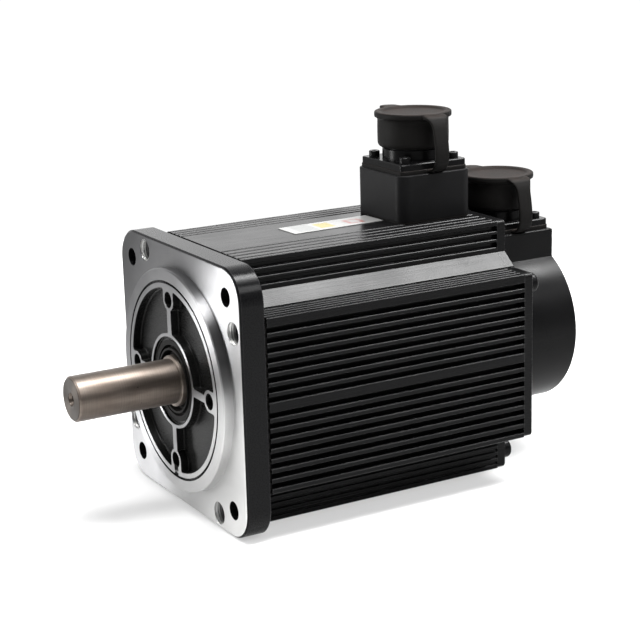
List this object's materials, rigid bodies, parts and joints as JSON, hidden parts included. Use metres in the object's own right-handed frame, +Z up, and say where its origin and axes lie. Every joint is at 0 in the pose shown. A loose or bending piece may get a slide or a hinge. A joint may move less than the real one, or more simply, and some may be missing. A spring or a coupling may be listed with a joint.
{
  "type": "servo motor",
  "caption": "Square-flange AC servo motor with pilot, plain shaft, finned black housing, round encoder cover and capped connectors on top.",
  "frame": {"origin": "centre of the pilot, in the plane of the flange's mounting face, on the shaft axis", "axes": "-Y along the shaft towards its free end, +Y towards the encoder, +Z up through the connectors, +X to the right when looking along +Y"},
  "size_m": [0.13, 0.264, 0.183],
  "materials": {
    "machined_aluminium": "machined, dark paint in the pockets",
    "black_painted_aluminium": "satin",
    "dark_grey_paint": "matte",
    "shaft_steel": "ground",
    "bearing_steel": "ground",
    "screw_steel": "black oxide",
    "spring_steel": "plain",
    "black_rubber": "matte",
    "seal_rubber": "satin",
    "lamination_steel": "stacked sheet",
    "enamelled_copper": "enamelled",
    "insulator_plastic": "matte",
    "magnet": "nickel plated",
    "sleeve_steel": "ground",
    "black_plated_shell": "black plated",
    "connector_plastic": "matte",
    "contact_brass": "gold plated",
    "cage_plastic": "matte",
    "circuit_board": "solder mask",
    "chip_plastic": "matte",
    "encoder_glass": "polished",
    "wire_insulation": "satin",
    "label_foil": "satin"
  },
  "bodies": {
    "stator": {"front_flange": "machined_aluminium", "oil_seal": "seal_rubber", "oil_seal_spring": "spring_steel", "front_bearing_outer_ring": "bearing_steel", "front_bearing_shields": "spring_steel", "front_bearing_circlip": "spring_steel", "rear_bearing_outer_ring": "bearing_steel", "rear_bearing_shields": "spring_steel", "wave_spring": "spring_steel", "front_gasket": "black_rubber", "stator_housing": "black_painted_aluminium", "rear_plate": "black_painted_aluminium", "stator_core": "lamination_steel", "end_insulators": "insulator_plastic", "stator_coils": "enamelled_copper", "power_leads": "wire_insulation", "cover_gasket": "black_rubber", "encoder_cover": "black_painted_aluminium", "flange_screws": "screw_steel", "rear_plate_screws": "screw_steel", "cover_screws": "screw_steel", "power_box_gasket": "black_rubber", "power_box": "dark_grey_paint", "encoder_standoffs": "sleeve_steel", "encoder_board": "circuit_board", "encoder_sensor": "chip_plastic", "encoder_chips": "chip_plastic", "board_screws": "screw_steel", "encoder_leads": "wire_insulation", "rating_label": "label_foil", "power_cap_base": "black_rubber", "power_receptacle": "black_plated_shell", "power_insert": "connector_plastic", "power_pins": "contact_brass", "power_receptacle_screws": "screw_steel", "encoder_cap_base": "black_rubber", "encoder_receptacle": "black_plated_shell", "encoder_insert": "connector_plastic", "encoder_pins": "contact_brass", "encoder_receptacle_screws": "screw_steel"},
    "rotor": {"shaft": "shaft_steel", "rotor_core": "lamination_steel", "rotor_magnets": "magnet", "rotor_sleeve": "sleeve_steel", "rotor_end_rings": "sleeve_steel", "front_bearing_inner_ring": "bearing_steel", "rear_bearing_inner_ring": "bearing_steel", "rear_lock_ring": "spring_steel", "encoder_hub": "sleeve_steel", "encoder_disc": "encoder_glass", "encoder_hub_screw": "screw_steel"},
    "front_ball_cage": {"front_bearing_cage": "cage_plastic", "front_bearing_balls": "bearing_steel"},
    "rear_ball_cage": {"rear_bearing_cage": "cage_plastic", "rear_bearing_balls": "bearing_steel"},
    "power_dust_cap": {"power_cap": "black_rubber", "power_cap_strap": "black_rubber"},
    "encoder_dust_cap": {"encoder_cap": "black_rubber", "encoder_cap_strap": "black_rubber"}
  },
  "joints": [
    {"name": "rotor_spin", "type": "hinge", "parent": "stator", "child": "rotor", "pos_m": [0, 0, 0], "axis": [0, 1, 0], "continuous": true},
    {"name": "front_cage_spin", "type": "hinge", "parent": "stator", "child": "front_ball_cage", "pos_m": [0, 0.0135, 0], "axis": [0, 1, 0], "continuous": true},
    {"name": "rear_cage_spin", "type": "hinge", "parent": "stator", "child": "rear_ball_cage", "pos_m": [0, 0.153, 0], "axis": [0, 1, 0], "continuous": true},
    {"name": "power_cap_lift", "type": "slide", "parent": "stator", "child": "power_dust_cap", "axis": [0, 0, 1], "range_m": [0, 0.016], "deforming": ["power_cap_strap"]},
    {"name": "encoder_cap_lift", "type": "slide", "parent": "stator", "child": "encoder_dust_cap", "axis": [0, 0, 1], "range_m": [0, 0.016], "deforming": ["encoder_cap_strap"]}
  ],
  "couplings": [
    {"joint": "front_cage_spin", "follows": "rotor_spin", "ratio": 0.3987},
    {"joint": "rear_cage_spin", "follows": "rotor_spin", "ratio": 0.3836}
  ]
}
